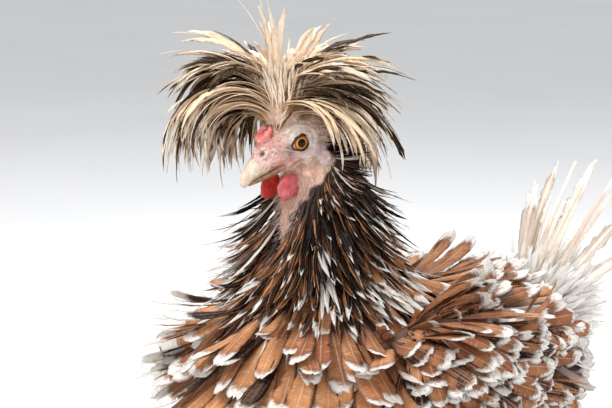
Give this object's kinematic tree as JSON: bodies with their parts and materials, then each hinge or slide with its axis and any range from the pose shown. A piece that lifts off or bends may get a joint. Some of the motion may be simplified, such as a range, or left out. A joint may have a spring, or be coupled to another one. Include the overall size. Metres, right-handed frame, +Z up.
{
  "type": "polish crested chicken",
  "caption": "Life-size still model of a frizzle-feathered Polish crested hen standing on both feet, with a fountain crest, outward-curling body feathers and a raised tail.",
  "frame": {"origin": "bottom centre of the whole outline, on the floor that the feet stand on", "axes": "+Z up, the hen faces -Y and her left side is +X"},
  "size_m": [0.2502, 0.384, 0.413],
  "materials": {
    "buff_feather": "feather, orange-brown with white tips",
    "brown_feather": "feather, mahogany brown with white tips",
    "dark_feather": "narrow feather, black and dark brown with orange streaks",
    "cream_feather": "narrow feather, cream with dark streaks",
    "white_feather": "frayed feather, off-white",
    "face_skin": "bare wrinkled skin",
    "comb_skin": "soft bumpy skin",
    "earlobe_skin": "soft pale skin",
    "bill_horn": "horn, satin",
    "eye": "clear wet gloss",
    "leg_scales": "slate scales, satin",
    "claw_horn": "horn, satin"
  },
  "bodies": {
    "root": {"torso": "buff_feather", "neck": "dark_feather", "head": "face_skin", "crest": "cream_feather", "bill_upper": "bill_horn", "bill_lower": "bill_horn", "comb": "comb_skin", "wattle_left": "comb_skin", "wattle_right": "comb_skin", "eye_left": "eye", "eye_right": "eye", "ear_left": "earlobe_skin", "ear_right": "earlobe_skin", "wing_left": "brown_feather", "wing_right": "brown_feather", "tail": "white_feather", "thigh_left": "buff_feather", "thigh_right": "buff_feather", "shank_left": "leg_scales", "shank_right": "leg_scales", "foot_left": "leg_scales", "foot_right": "leg_scales", "claw_left_inner": "claw_horn", "claw_left_middle": "claw_horn", "claw_left_outer": "claw_horn", "claw_left_hind": "claw_horn", "claw_right_inner": "claw_horn", "claw_right_middle": "claw_horn", "claw_right_outer": "claw_horn", "claw_right_hind": "claw_horn"}
  },
  "joints": []
}
